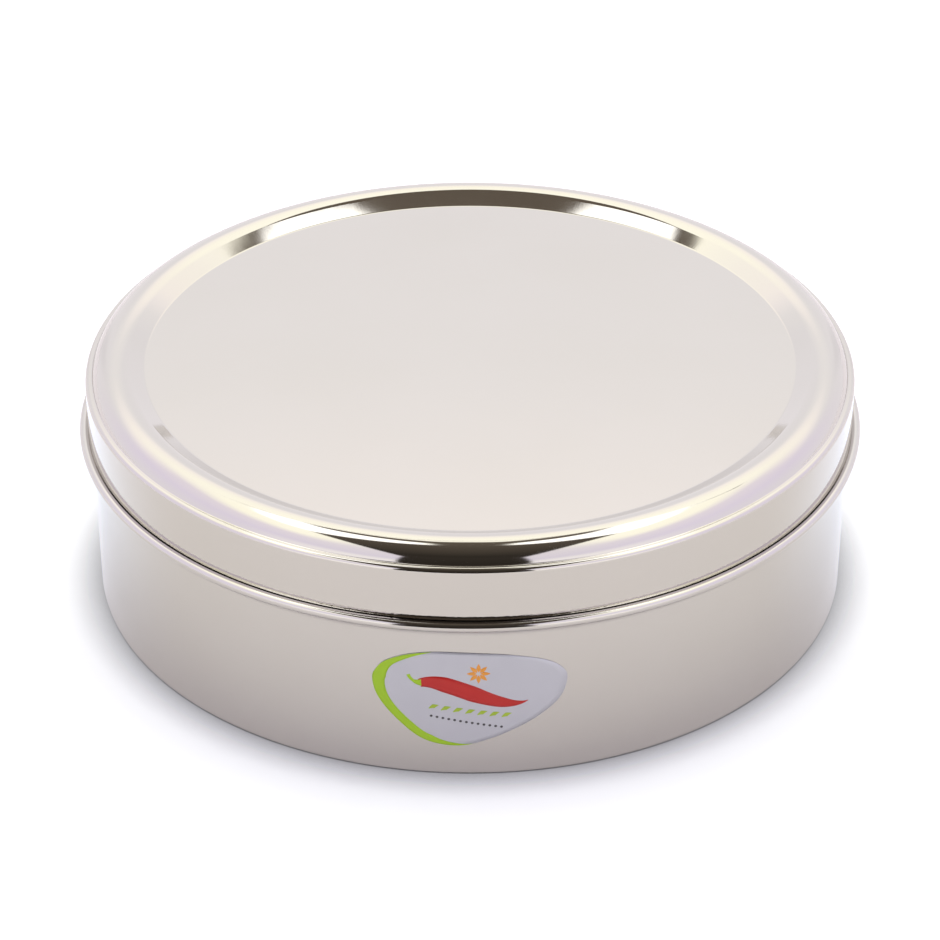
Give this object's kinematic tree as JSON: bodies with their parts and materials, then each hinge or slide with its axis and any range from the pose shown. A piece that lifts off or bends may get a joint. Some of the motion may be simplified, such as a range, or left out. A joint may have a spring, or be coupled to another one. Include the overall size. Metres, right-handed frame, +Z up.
{
  "type": "spice box",
  "caption": "Round stainless steel spice box (masala dabba): shallow tub with small cups, an inner plate with a folding ring, a spoon and a slip-over lid.",
  "frame": {"origin": "centre of the tub's flat underside, where it rests on a table", "axes": "+Z up along the box's axis; -Y towards the label on the front; +X to the right as the label is read"},
  "size_m": [0.2096, 0.2096, 0.066],
  "materials": {
    "tub_steel": "mirror polished",
    "lid_steel": "mirror polished",
    "plate_steel": "bright pressed",
    "cup_steel": "bright, spun",
    "wire_steel": "drawn bright wire",
    "spoon_steel": "tumbled bright",
    "label_film": "printed silver vinyl film"
  },
  "bodies": {
    "tub": {"tub": "tub_steel", "label": "label_film"},
    "lid": {"lid": "lid_steel"},
    "inner_plate": {"inner_plate": "plate_steel", "ring_clip": "plate_steel"},
    "ring_handle": {"ring_handle": "wire_steel"},
    "spoon": {"spoon": "spoon_steel"},
    "cup_centre": {"cup_centre": "cup_steel"},
    "cup_1": {"cup_1": "cup_steel"},
    "cup_2": {"cup_2": "cup_steel"},
    "cup_3": {"cup_3": "cup_steel"},
    "cup_4": {"cup_4": "cup_steel"},
    "cup_5": {"cup_5": "cup_steel"},
    "cup_6": {"cup_6": "cup_steel"}
  },
  "joints": [
    {"name": "lid_lift", "type": "slide", "parent": "tub", "child": "lid", "axis": [0, 0, 1], "range_m": [0, 0.25]},
    {"name": "inner_plate_lift", "type": "slide", "parent": "tub", "child": "inner_plate", "axis": [0, 0, 1], "range_m": [0, 0.16]},
    {"name": "ring_fold", "type": "hinge", "parent": "inner_plate", "child": "ring_handle", "pos_m": [0, 0, 0.0469], "axis": [-1, 0, 0], "range_deg": [0, 180]},
    {"name": "spoon_lift", "type": "slide", "parent": "tub", "child": "spoon", "axis": [0, 0, 1], "range_m": [0, 0.21]},
    {"name": "cup_centre_lift", "type": "slide", "parent": "tub", "child": "cup_centre", "axis": [0, 0, 1], "range_m": [0, 0.08]},
    {"name": "cup_1_lift", "type": "slide", "parent": "tub", "child": "cup_1", "axis": [0, 0, 1], "range_m": [0, 0.08]},
    {"name": "cup_2_lift", "type": "slide", "parent": "tub", "child": "cup_2", "axis": [0, 0, 1], "range_m": [0, 0.08]},
    {"name": "cup_3_lift", "type": "slide", "parent": "tub", "child": "cup_3", "axis": [0, 0, 1], "range_m": [0, 0.08]},
    {"name": "cup_4_lift", "type": "slide", "parent": "tub", "child": "cup_4", "axis": [0, 0, 1], "range_m": [0, 0.08]},
    {"name": "cup_5_lift", "type": "slide", "parent": "tub", "child": "cup_5", "axis": [0, 0, 1], "range_m": [0, 0.08]},
    {"name": "cup_6_lift", "type": "slide", "parent": "tub", "child": "cup_6", "axis": [0, 0, 1], "range_m": [0, 0.08]}
  ],
  "couplings": [
    {"joint": "inner_plate_lift", "follows": "lid_lift", "ratio": 0.62},
    {"joint": "ring_fold", "follows": "lid_lift", "rad_per_m": 6.28},
    {"joint": "spoon_lift", "follows": "lid_lift", "ratio": 0.82},
    {"joint": "cup_centre_lift", "follows": "lid_lift", "ratio": 0.3},
    {"joint": "cup_1_lift", "follows": "lid_lift", "ratio": 0.3},
    {"joint": "cup_2_lift", "follows": "lid_lift", "ratio": 0.3},
    {"joint": "cup_3_lift", "follows": "lid_lift", "ratio": 0.3},
    {"joint": "cup_4_lift", "follows": "lid_lift", "ratio": 0.3},
    {"joint": "cup_5_lift", "follows": "lid_lift", "ratio": 0.3},
    {"joint": "cup_6_lift", "follows": "lid_lift", "ratio": 0.3}
  ]
}
